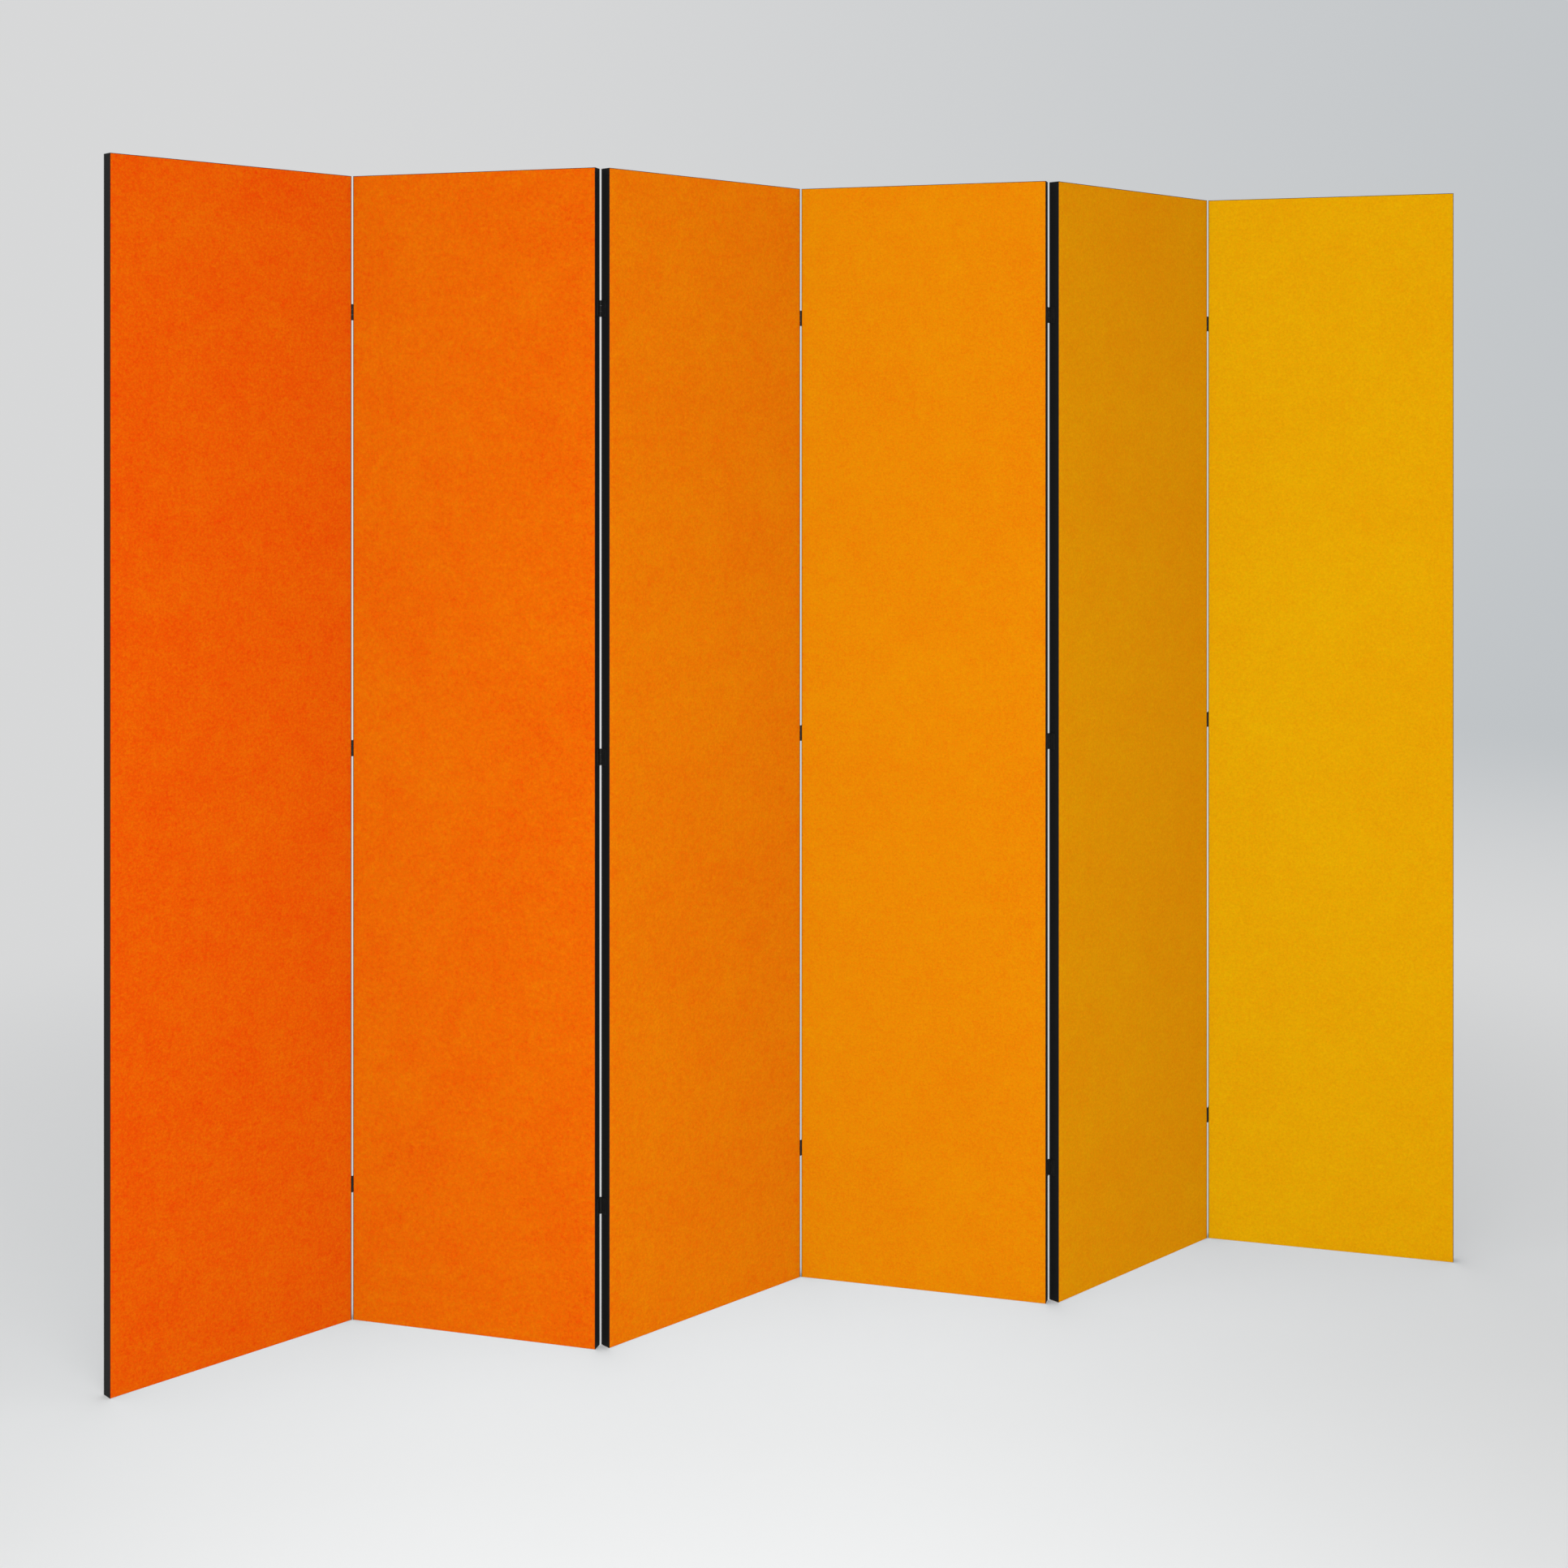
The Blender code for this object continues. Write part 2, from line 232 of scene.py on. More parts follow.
class Finish(Nodes):
    """A material in the making: a Principled BSDF whose uniform numbers are set on its own sockets."""

    def __init__(self, name, **uniform):
        self.material = bpy.data.materials.new(name)
        self.material.use_nodes = True
        super().__init__(self.material.node_tree)
        self.shader = self.tree.nodes["Principled BSDF"]
        for socket, number in uniform.items():
            self.shader.inputs[socket.replace("_", " ")].default_value = number

    def place(self):
        """Object coordinates: the place in the model's frame, in metres."""
        return self.node("ShaderNodeTexCoord").outputs["Object"]

    def attribute(self, name):
        """A piece's own attribute, as a vector and as a number."""
        made = self.node("ShaderNodeAttribute", {"attribute_name": name})
        return made.outputs["Vector"], Value(self, made.outputs["Fac"])

    def turned(self, vector, turn=(0, 0, 0), scale=(1, 1, 1), shift=(0, 0, 0)):
        """The vector after a Mapping node."""
        given = {"Vector": vector, "Location": shift, "Rotation": turn, "Scale": scale}
        return self.node("ShaderNodeMapping", None, given).outputs[0]

    def parts(self, vector):
        """The three numbers of a vector."""
        made = self.node("ShaderNodeSeparateXYZ", None, {0: vector})
        return [Value(self, socket) for socket in made.outputs]

    def noise(self, vector, size, detail=2.0, roughness=0.5, distortion=0.0):
        """Smooth noise from 0 to 1 whose largest features are about this size, in metres."""
        given = {
            "Vector": vector,
            "Scale": 1 / size,
            "Detail": detail,
            "Roughness": roughness,
            "Distortion": distortion,
        }
        return Value(self, self.node("ShaderNodeTexNoise", None, given).outputs[0])

    def bump(self, height, distance):
        """Relief of this height in metres."""
        return self.node("ShaderNodeBump", None, {"Height": height, "Distance": distance}).outputs[0]

    def feed(self, **sockets):
        """Links what varies over the surface to the shader."""
        for name, source in sockets.items():
            self.link(source, self.shader.inputs[name.replace("_", " ")])
        return self.material


def opaque(given):
    """A colour of three numbers with its alpha, or a socket as it is."""
    return given if isinstance(given, bpy.types.NodeSocket) else (*given, 1)


def scaled(numbers, factor):
    """Three numbers, each times the factor."""
    return tuple(number * factor for number in numbers)


FELT_CLOUD_SIZE = 0.30  # largest patch of the dye's cloudiness
FELT_CLOUD_DETAIL = 7.0
FELT_CLOUD_ROUGHNESS = 1.0
FELT_GREEN_RANGE = 0.10  # how far the dye's green can move, either way
FELT_CLOUD_SHARE = 1.15  # how much of that range the clouds, the mottle and the specks each take
FELT_MOTTLE_SIZE = 0.008
FELT_MOTTLE_SHARE = 0.35
FELT_SPECK_SIZE = 0.0045
FELT_SPECK_SHARE = 0.85
FELT_GRAIN_SIZE = 0.0030
FELT_GRAIN_DEPTH = 0.31  # the darkest that the grain makes the dye, as a share of it
FELT_SPECK_SHIFT = (0.4, 0.7, 0)
FELT_GLUE = (0.01, 0.01, 0.01)
FELT_GLUE_RISE = (0.2, 0.9)  # where the glue starts and is full: 0 is inside the cut edge, 1 its rim
FIBRE_LENGTH = 0.006
FIBRE_WIDTH = 0.00035
FIBRE_TURNS = (0.35, 1.45, 2.5)
FIBRE_SHIFT = (0.013, 0.029, 0.7)  # from one direction's pattern to the next one's
FIBRE_SHARPNESS = 6
FIBRE_SHADE = 0.35  # how far a fibre's crest takes the fibre's own shade
FIBRE_RELIEF = 0.00022


def fibres(finish, place):
    """Felted fibres: the ridges of noise drawn out along several directions, 1 on a fibre's crest."""
    total = 0
    for number, turn in enumerate(FIBRE_TURNS):
        across = finish.turned(place, turn=(0, 0, turn), shift=scaled(FIBRE_SHIFT, number))
        drawn_out = finish.turned(across, scale=(FIBRE_WIDTH / FIBRE_LENGTH, 1, 1))
        strands = finish.noise(drawn_out, FIBRE_WIDTH, detail=1.0, distortion=0.4)
        total = total + (1 - abs(strands * 2 - 1)).power(FIBRE_SHARPNESS)
    return total / len(FIBRE_TURNS)


def felt_material(name, dye):
    """Dyed wool felt: cloudy dye, mottle and specks, a mat of fibres, and black glue on the cut edge."""
    finish = Finish(
        name,
        Sheen_Weight=0.25,
        Sheen_Roughness=0.6,
        Sheen_Tint=(*dye, 1),
        Specular_IOR_Level=0.02,
    )
    place, _ = finish.attribute(CLOTH_PLACE)
    _, cut = finish.attribute(CUT_EDGE)
    cloud = finish.noise(place, FELT_CLOUD_SIZE, FELT_CLOUD_DETAIL, FELT_CLOUD_ROUGHNESS)
    mottle = finish.noise(place, FELT_MOTTLE_SIZE, detail=2.0, roughness=0.9)
    elsewhere = finish.turned(place, shift=FELT_SPECK_SHIFT)
    speck = finish.noise(elsewhere, FELT_SPECK_SIZE, detail=1.0, roughness=0.9)
    grain = finish.noise(place, FELT_GRAIN_SIZE, detail=1.5, roughness=0.8)
    strands = fibres(finish, place)
    red, green, blue = dye
    low = (red, max(green - FELT_GREEN_RANGE, 0), blue)
    high = (red, green + FELT_GREEN_RANGE, blue)
    shade = (cloud - 0.5) * FELT_CLOUD_SHARE + (mottle - 0.5) * FELT_MOTTLE_SHARE + 0.5
    shade = shade + (speck - 0.5) * FELT_SPECK_SHARE
    dyed = finish.mix(low, high, shade)
    dyed = finish.mix(dyed, BLACK, (1 - grain) * FELT_GRAIN_DEPTH)
    dyed = finish.mix(dyed, scaled(dye, 0.8), strands * FIBRE_SHADE)
    relief = finish.bump(strands * 0.7 + grain * 0.3, FIBRE_RELIEF)
    return finish.feed(
        Base_Color=finish.mix(dyed, FELT_GLUE, cut.step(*FELT_GLUE_RISE)),
        Roughness=0.98 - strands * 0.08,
        Normal=relief,
    )


BAND_GRAIN_SIZE = 0.0006
BAND_GRAIN_STRETCH = (1, 1, 0.06)
BAND_PATCH_SIZE = 0.05
BAND_SCUFF_SIZE = 0.004
BAND_DUST = (0.03, 0.03, 0.031)
BAND_RELIEF = 0.00006


def band_material(colours):
    """Matte black edging: a fine drawn grain, faint scuffs and a little dust."""
    finish = Finish("edge_band_black", Specular_IOR_Level=0.16)
    place = finish.place()
    grain = finish.noise(finish.turned(place, scale=BAND_GRAIN_STRETCH), BAND_GRAIN_SIZE, 3.0, 0.6)
    patches = finish.noise(place, BAND_PATCH_SIZE, 4.0, 0.6)
    scuffs = finish.noise(place, BAND_SCUFF_SIZE, 5.0, 0.75).step(0.60, 0.74)
    black = finish.mix(colours.band, scaled(colours.band, 1.7), patches * 0.5 + grain * 0.5)
    black = finish.mix(black, BAND_DUST, scuffs * patches * 0.35)
    return finish.feed(
        Base_Color=black,
        Roughness=0.62 + grain * 0.14 - scuffs * 0.1,
        Normal=finish.bump(grain + patches * 0.5, BAND_RELIEF),
    )


PAINT_PEEL_SIZE = 0.0011
PAINT_PATCH_SIZE = 0.008
PAINT_CHIP_SIZE = 0.0016
PAINT_RELIEF = 0.00004
BARE_STEEL = (0.16, 0.155, 0.15)


def hinge_material(colours):
    """Black paint on stamped steel, with a slight orange peel and bare specks where it has chipped."""
    finish = Finish("hinge_black", Specular_IOR_Level=0.35, Coat_Roughness=0.3)
    place = finish.place()
    peel = finish.noise(place, PAINT_PEEL_SIZE)
    patches = finish.noise(place, PAINT_PATCH_SIZE, 4.0, 0.6)
    chips = finish.noise(place, PAINT_CHIP_SIZE, 4.0, 0.7).step(0.70, 0.74)
    paint = finish.mix(colours.hinge, scaled(colours.hinge, 2.2), patches)
    return finish.feed(
        Base_Color=finish.mix(paint, BARE_STEEL, chips * 0.6),
        Metallic=chips * 0.9,
        Roughness=0.42 + patches * 0.2 - chips * 0.1,
        Normal=finish.bump(peel * 0.6 - chips, PAINT_RELIEF),
    )


OXIDE_PATCH_SIZE = 0.0025
OXIDE = (0.012, 0.012, 0.012)
OXIDE_RELIEF = 0.00002
RUBBED_PATCH_SIZE = 0.0009
RUBBED_STEEL = (0.09, 0.088, 0.085)


def screw_material():
    """Blackened steel: darker patches of oxide, and rubbed brighter in places."""
    finish = Finish("screw_black", Specular_IOR_Level=0.4)
    place = finish.place()
    patches = finish.noise(place, OXIDE_PATCH_SIZE, 3.0, 0.6)
    rubbed = finish.noise(place, RUBBED_PATCH_SIZE, 3.0, 0.7).step(0.52, 0.68)
    return finish.feed(
        Base_Color=finish.mix(OXIDE, RUBBED_STEEL, rubbed),
        Metallic=0.55 + patches * 0.4,
        Roughness=0.5 - rubbed * 0.18,
        Normal=finish.bump(patches, OXIDE_RELIEF),
    )


FRAME_MEMBER = 0.032  # width of the frame's stiles and rails
MEMBER_JOINT = MILLIMETRE / 2  # the grain turns over this distance where a rail meets the stiles
GRAIN_STRETCH = 0.04  # the grain is drawn out 25 times along a member
RING_WANDER_SIZE = 0.03
RING_CLOSENESS = 80
PORE_SIZE = 0.0012
TIMBER_RELIEF = 0.00012


def timber_material(name, lean, lowest, highest, colours):
    """Planed softwood: growth rings along the stiles, and along the rails at the top and the bottom."""
    finish = Finish(name, Specular_IOR_Level=0.3)
    place = finish.turned(finish.place(), turn=(0, 0, -lean))
    height = finish.parts(place)[2]
    bottom_rail, top_rail = lowest + FRAME_MEMBER, highest - FRAME_MEMBER
    rail = 1 - height.step(bottom_rail, bottom_rail + MEMBER_JOINT)
    rail = rail + height.step(top_rail - MEMBER_JOINT, top_rail)
    along_stile = finish.turned(place, scale=(1, 1, GRAIN_STRETCH))
    along_rail = finish.turned(place, scale=(GRAIN_STRETCH, 1, 1), shift=(0.3, 0.2, 0.1))
    rings = []
    pores = []
    for run in (along_stile, along_rail):
        wander = finish.noise(run, RING_WANDER_SIZE, 3.0, 0.55)
        rings.append((wander * RING_CLOSENESS).sine() * 0.5 + 0.5)
        pores.append(finish.noise(run, PORE_SIZE, 3.0, 0.6))
    ring = rings[0] * (1 - rail) + rings[1] * rail
    pore = pores[0] * (1 - rail) + pores[1] * rail
    wood = finish.mix(colours.timber, colours.timber_ring, ring.power(3) * 0.7)
    return finish.feed(
        Base_Color=finish.mix(wood, scaled(colours.timber_ring, 0.6), pore.step(0.55, 0.8) * 0.5),
        Roughness=0.62 + pore * 0.2,
        Normal=finish.bump(pore + ring * 0.3, TIMBER_RELIEF),
    )


BOARD_FLECK_SIZE = 0.0022
BOARD_PATCH_SIZE = 0.04
BOARD_PIT_SIZE = 0.0011
BOARD_RELIEF = 0.0003


def infill_material(colours):
    """Soft fibreboard: pressed fibres of many shades and pitted cut edges, with painted shade in the pits.
    """
    finish = Finish("infill_fibreboard", Specular_IOR_Level=0.1)
    place = finish.place()
    flecks = finish.noise(place, BOARD_FLECK_SIZE, 4.0, 0.7)
    patches = finish.noise(place, BOARD_PATCH_SIZE, 3.0)
    pits_and_shade = finish.noise(place, BOARD_PIT_SIZE).step(0.60, 0.75)
    dark, light = scaled(colours.infill, 0.7), scaled(colours.infill, 1.25)
    board = finish.mix(dark, light, flecks * 0.7 + patches * 0.3)
    return finish.feed(
        # Painted shade: the pits are darkened as well as dented.
        Base_Color=finish.mix(board, scaled(colours.infill, 0.35), pits_and_shade * 0.7),
        Roughness=0.9 + flecks * 0.08,
        Normal=finish.bump(flecks - pits_and_shade, BOARD_RELIEF),
    )


# ------------------------------------------------------------------------------- surfaces from numpy


SHARP_ABOVE = math.radians(40)  # an edge that turns more than this stays sharp
WAVE_COUNT = 12
WAVE_LENGTHS = (0.06, 0.5)
WAVE_FADE = 0.02  # the felt's waves fade out this far from its edge
CLOTH_APART = 3.1  # from one panel's felt pattern to the next panel's


def node_points(name):
    """The corners of a CAD node in metres, each once."""
    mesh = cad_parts[name].data
    flat = np.empty(len(mesh.vertices) * 3, np.float32)
    mesh.vertices.foreach_get("co", flat)
    return np.unique(flat.reshape(-1, 3).astype(float).round(6), axis=0)


class PanelAxes:
    """A panel's own directions: X along its width to the right, Y from its front to its back, Z up."""

    def __init__(self, panel):
        corners = node_points(f"panel_{panel}_edge_band")[:, :2]
        spread = np.linalg.svd(corners - corners.mean(0), full_matrices=False)[2][0]
        x, y = spread * np.sign(spread[0])
        self.rows = np.array([[x, y, 0], [-y, x, 0], [0, 0, 1]])
        self.lean = math.atan2(y, x)

    def measured(self, points):
        """Points of the model along the panel's own directions."""
        return points @ self.rows.T

    def placed(self, points):
        """Points along the panel's own directions, back in the model's frame."""
        return points @ self.rows


def grid_faces(index):
    """The four-sided faces of a grid of vertex numbers."""
    corners = [index[:-1, :-1], index[:-1, 1:], index[1:, 1:], index[1:, :-1]]
    return np.stack(corners, -1).reshape(-1, 4)


def signed_volume(points, faces):
    """Six times the volume that the four-sided faces enclose: above 0 if they face outwards."""
    a, b, c, d = (points[faces[:, i]] for i in range(4))
    return (a * np.cross(b, c)).sum() + (a * np.cross(c, d)).sum()


def add_surface(name, points, faces, material):
    """A mesh object at the origin with its faces outwards. A face of three corners repeats one of them."""
    if signed_volume(points - points.mean(0), faces) < 0:
        faces = faces[:, ::-1]
    mesh = bpy.data.meshes.new(name)
    corners = [tuple(dict.fromkeys(face)) for face in faces.tolist()]
    mesh.from_pydata(points.tolist(), [], corners)
    mesh.shade_smooth()
    mesh.set_sharp_from_angle(angle=SHARP_ABOVE)
    mesh.materials.append(material)
    made = bpy.data.objects.new(name, mesh)
    bpy.context.scene.collection.objects.link(made)
    return made


def add_attribute(piece, name, kind, values):
    """An attribute on a piece's vertices."""
    made = piece.data.attributes.new(name, kind, "POINT")
    field = "vector" if kind == "FLOAT_VECTOR" else "value"
    made.data.foreach_set(field, values.astype(np.float32).ravel())


def rimmed(low, high, step, radius, rim_steps=4):
    """Positions from low to high: along a quarter circle at each rim, and evenly between the rims."""
    turn = np.linspace(0, math.pi / 2, rim_steps + 1)
    rim = radius * (1 - np.cos(turn))
    count = max(2, round((high - low - 2 * radius) / step))
    even = np.linspace(low + radius, high - radius, count + 1)
    return np.concatenate([low + rim[:-1], even, high - rim[-2::-1]])


def slight_waves(x, z, random):
    """Plane cosine waves of random lengths and directions, summed and scaled to -1 to 1."""
    size = random.uniform(*WAVE_LENGTHS, WAVE_COUNT)
    turn = random.uniform(0, math.pi, WAVE_COUNT)
    start = random.uniform(0, 2 * math.pi, WAVE_COUNT)
    along = x[..., None] * np.cos(turn) + z[..., None] * np.sin(turn)
    waves = np.cos(2 * math.pi * along / size + start) * size
    return waves.sum(-1) / size.sum()


def felt_surface(low, high, outer, sizes, random):
    """A sheet as a height over the flat side that it is glued by.

    The height is the sheet's thickness, less a quarter circle's drop along the cut edge, less a dip of
    slight waves that fades out at the edge. Both sides have the same grid, and a wall joins their rims.
    """
    xs = rimmed(low[0], high[0], sizes.felt_step, sizes.felt_round)
    zs = rimmed(low[2], high[2], sizes.felt_step, sizes.felt_round)
    x, z = np.meshgrid(xs, zs)
    from_side = np.minimum(x - low[0], high[0] - x)
    from_end = np.minimum(z - low[2], high[2] - z)
    radius = sizes.felt_round
    past = np.hypot(np.maximum(radius - from_side, 0), np.maximum(radius - from_end, 0))
    drop = radius - np.sqrt(np.maximum(radius**2 - np.minimum(past, radius) ** 2, 0))
    fade = np.clip(np.minimum(from_side, from_end) / WAVE_FADE, 0, 1)
    dip = sizes.felt_dip * (0.5 + 0.5 * slight_waves(x, z, random)) * fade
    height = high[1] - low[1] - drop - dip
    glued, out = (high[1], -1) if outer < 0 else (low[1], 1)
    face = np.stack([x, glued + out * height, z], -1).reshape(-1, 3)
    under = np.stack([x, np.full_like(x, glued), z], -1).reshape(-1, 3)
    index = np.arange(x.size).reshape(x.shape)
    rim = np.concatenate([index[0, :-1], index[:-1, -1], index[-1, :0:-1], index[:0:-1, 0]])
    after = np.roll(rim, -1)
    wall = np.stack([after, rim, rim + x.size, after + x.size], -1)
    faces = np.concatenate([grid_faces(index), grid_faces(index)[:, ::-1] + x.size, wall])
    edge = 1 - np.clip(np.minimum(from_side, from_end) / radius, 0, 1)
    return np.concatenate([face, under]), faces, np.tile(edge.ravel(), 2)


def add_felt(panel, side, sizes, material, random):
    """One face sheet, in place of its CAD solid."""
    node = f"panel_{panel}_{side}_felt"
    axes = PanelAxes(panel)
    corners = axes.measured(node_points(node))
    spread = np.array([sizes.felt_spread, 0, sizes.felt_spread])
    low, high = corners.min(0) - spread, corners.max(0) + spread
    outer = -1 if side == "front" else 1
    points, faces, edge = felt_surface(low, high, outer, sizes, random)
    felt = add_surface(f"panel_{panel}_{side}_felt_sheet", axes.placed(points), faces, material)
    pattern = np.full(len(points), panel * CLOTH_APART + outer)
    cloth = np.stack([points[:, 0], points[:, 2], pattern], -1)
    add_attribute(felt, CLOTH_PLACE, "FLOAT_VECTOR", cloth)
    add_attribute(felt, CUT_EDGE, "FLOAT", edge)
    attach(felt, f"panel_{panel}")
    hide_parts(node)
    flat = (float(high[0] - low[0]), float(high[2] - low[2]))


HEAD_SUNK = 0.00004  # the head's face lies this far under the leaf's open face
HEAD_ROUND = 0.00008  # width of the round at the head's rim
HEAD_ROUND_DEPTHS = (0.00007, 0.00013)  # depths where the round starts and where it ends
HEAD_RIM_END = 0.00022  # depth where the cone of the head starts
NECK_EXTRA = 0.0002  # how much thicker than the shank the cone ends
NECK_LENGTH = 0.0006
THREAD_START = 0.0010  # from the leaf's inner face to the first turn
POINT_SHARE = 0.28  # share of the thread's length that tapers to the point
RIDGE_SHARPNESS = 5
RECESS_TAPER = 0.45  # how much shallower the recess is at its reach


def screw_profile(sizes, leaf_thickness):
    """The screw's outline before its recess and thread, from the middle of the head to the point.

    Each row is a depth below the leaf's open face, a radius, and how much of the thread stands there.
    """
    head = np.linspace(0, 1, 9)
    face = [np.full(9, HEAD_SUNK), head * (sizes.head_radius - HEAD_ROUND), np.zeros(9)]
    flat = np.stack(face, -1)
    flat[-1, 0] = HEAD_ROUND_DEPTHS[0]
    neck = np.array(
        [
            [HEAD_ROUND_DEPTHS[1], sizes.head_radius, 0],
            [HEAD_RIM_END, sizes.head_radius, 0],
            [leaf_thickness, sizes.shank_radius + NECK_EXTRA, 0],
            [leaf_thickness + NECK_LENGTH, sizes.shank_radius, 0],
        ]
    )
    start = leaf_thickness + THREAD_START
    run = np.linspace(start, sizes.screw_length, 48)
    share = (run - start) / (sizes.screw_length - start)
    taper = np.clip((1 - share) / POINT_SHARE, 0, 1)
    thread = np.minimum(np.clip(share / 0.08, 0, 1), np.clip((1 - share) / 0.1, 0, 1))
    shank = np.stack([run, sizes.shank_radius * np.maximum(taper, 0.04), thread], -1)
    return np.concatenate([flat, neck, shank])


def smooth_step(start, end, values):
    """0 before start, 1 after end and an S curve between them."""
    share = np.clip((values - start) / (end - start), 0, 1)
    return share * share * (3 - 2 * share)


def screw_surface(sizes, leaf_thickness, turns, sides=32):
    """Screws along +X, one for each turn: the profile carried round the axis.

    The radius gains a ridge where the depth in pitches, less the angle in turns, is near a whole number.
    The head sinks by the recess's depth where the smaller of |y| and |z| is within an arm's half width
    and the larger is within its reach.
    """
    profile = screw_profile(sizes, leaf_thickness)
    angle = np.arange(sides) / sides * 2 * math.pi
    depth = profile[:, 0][:, None] + 0 * angle
    phase = depth / sizes.thread_pitch - angle / (2 * math.pi)
    ridge = np.clip(1 - np.abs(phase - np.round(phase)) * RIDGE_SHARPNESS, 0, 1)
    radius = profile[:, 1][:, None] + sizes.thread_depth * ridge * profile[:, 2][:, None]
    y, z = radius * np.cos(angle), radius * np.sin(angle)
    near, far = np.minimum(abs(y), abs(z)), np.maximum(abs(y), abs(z))
    soft = MILLIMETRE / 10
    arm = 1 - smooth_step(sizes.recess_width - soft, sizes.recess_width + soft, near)
    reach = 1 - smooth_step(sizes.recess_reach - 3 * soft, sizes.recess_reach, far)
    on_face = (profile[:, 0] < HEAD_ROUND_DEPTHS[1])[:, None]
    shallower = 1 - RECESS_TAPER * far / sizes.recess_reach
    x = depth + sizes.recess_depth * arm * reach * on_face * shallower
    rings = np.stack([x, y, z], -1)
    shape = rings[1:-1].reshape(-1, 3)
    poles = np.array([rings[0].mean(0), [profile[-1, 0], 0, 0]])
    count = len(profile) - 2
    index = np.arange(count * sides).reshape(count, sides)
    index = np.concatenate([index, index[:, :1]], 1)
    first, last = np.full((1, sides + 1), index.max() + 1), np.full((1, sides + 1), index.max() + 2)
    faces = grid_faces(np.concatenate([first, index, last]))
    points = np.concatenate([shape, poles])
    cos, sin = np.cos(turns)[:, None], np.sin(turns)[:, None]
    x, y, z = points.T
    return np.stack([x + 0 * cos, y * cos - z * sin, y * sin + z * cos], -1), faces


def leaf_seats(axes, node, panel_middle, sizes):
    """Where a leaf's two screws sit.

    Gives the middle of each head on the leaf's open face, the way in along X, and the leaf's thickness.
    """
    corners = axes.measured(node_points(node))
    low, high = corners.min(0), corners.max(0)
    flip = 1 if panel_middle[0] > low[0] else -1
    reaches = (low[1], high[1])
    far = max(reaches, key=lambda y: -abs(y - panel_middle[1]))
    edge = corners[abs(corners[:, 1] - far) < MILLIMETRE / 100]
    faces = edge[:, 0].min(), edge[:, 0].max()
    open_face = faces[0] if flip > 0 else faces[1]
    depth = far + math.copysign(sizes.screw_margin, (low[1] + high[1]) / 2 - far)
    middle = (low[2] + high[2]) / 2
    heights = middle + np.array([-0.5, 0.5]) * sizes.screw_spread
    seats = np.stack([np.full(2, open_face), np.full(2, depth), heights], -1)
    return seats, flip, faces[1] - faces[0]


def add_screws(panel, sizes, material, random):
    """All the countersunk screws that hold one panel's hinge leaves."""
    axes = PanelAxes(panel)
    outline = axes.measured(node_points(f"panel_{panel}_edge_band"))
    middle = (outline.min(0) + outline.max(0)) / 2
    side = {panel - 1: "free_leaf", panel: "pin_leaf"}
    names = [
        f"hinge_{fold}{fold + 1}_{level}_{leaf}"
        for fold, leaf in side.items()
        if 0 < fold < max(PANELS)
        for level in ("bottom", "middle", "top")
    ]
    points, faces = [], []
    for name in names:
        seats, flip, thickness = leaf_seats(axes, name, middle, sizes)
        shape, shape_faces = screw_surface(sizes, thickness, random.uniform(0, math.pi / 2, 2))
        shape = shape * (flip, flip, 1) + seats[:, None]
        for screw in shape:
            faces.append(shape_faces + sum(len(done) for done in points))
            points.append(screw)
    points, faces = axes.placed(np.concatenate(points)), np.concatenate(faces)
    screws = add_surface(f"panel_{panel}_hinge_screws", points, faces, material)
    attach(screws, f"panel_{panel}")


# ----------------------------------------------------------------------------------------- the stage

FLOOR_RADIUS = 60.0
FLOOR_SIDES = 64
FLOOR_RINGS = 9
DUST_SIZE = 0.4
DUST_SHADE = 0.985
WALL_LEFT = (0.682, 0.686, 0.690)
WALL_RIGHT = (0.515, 0.540, 0.560)
DIM_SIDE = (0.9706, -0.2407, 0)  # level direction of the studio's dimmer side, called right here
WALL_TURNS = (-0.25, 0.55)  # sines of the angles to the right between which the wall's shade changes
FLOOR_TO_GLOW = (1.0, 3.2)  # distances from the origin between which the lit floor turns into a glow
FLOOR_TO_WALL_SHADE = (2.2, 8.0)  # distances between which that glow takes the wall's own shade
# Each painted shade on the floor: the distances from the origin between which it sets in, and its share.
PAINTED_SHADE_RIGHT, PAINTED_SHADE_RIGHT_SHARE = (0.0, 1.2), 0.12
PAINTED_SHADE_LEFT, PAINTED_SHADE_LEFT_SHARE = (0.4, 1.4), 0.09
PAINTED_SHADE_FRONT, PAINTED_SHADE_FRONT_SHARE = (0.3, 1.0), 0.025
PAINTED_SHADE_UNDER_KEY, PAINTED_SHADE_UNDER_KEY_SHARE = (1.1, 2.2), 0.4
# Painted light: the floor behind the screen, where the screen shades it, is painted paler.
PAINTED_LIGHT_BACK, PAINTED_LIGHT_BACK_SHARE = (-0.5, -0.1), 0.45  # the same for the paler floor behind the screen
# Each light: its place, its target, and its width and height.
KEY_LIGHT = ((-0.8, -3.0, 1.05), (-0.3, 0, 1.0), (3.6, 0.7))
FILL_LIGHT = ((-0.9, -7.0, 1.3), (0, 0, 0.9), (3.5, 3.5))
TOP_LIGHT = ((-0.2, -0.5, 3.6), (-0.2, -0.5, 0), (1.6, 1.6))
TOP_LIGHT_SPREAD = math.radians(110)
SENSOR_WIDTH = 36  # millimetres


def add_world():
    """A pale wall all round, a little darker and cooler on the dimmer side."""
    world = bpy.data.worlds.new("studio")
    bpy.context.scene.world = world
    world.use_nodes = True
    nodes = Nodes(world.node_tree)
    heading = nodes.node("ShaderNodeTexCoord").outputs["Generated"]
    dot = nodes.node("ShaderNodeVectorMath", {"operation": "DOT_PRODUCT"}, {0: heading, 1: DIM_SIDE})
    share = Value(nodes, dot.outputs["Value"]).step(*WALL_TURNS)
    nodes.link(nodes.mix(WALL_LEFT, WALL_RIGHT, share), nodes.tree.nodes["Background"].inputs["Color"])


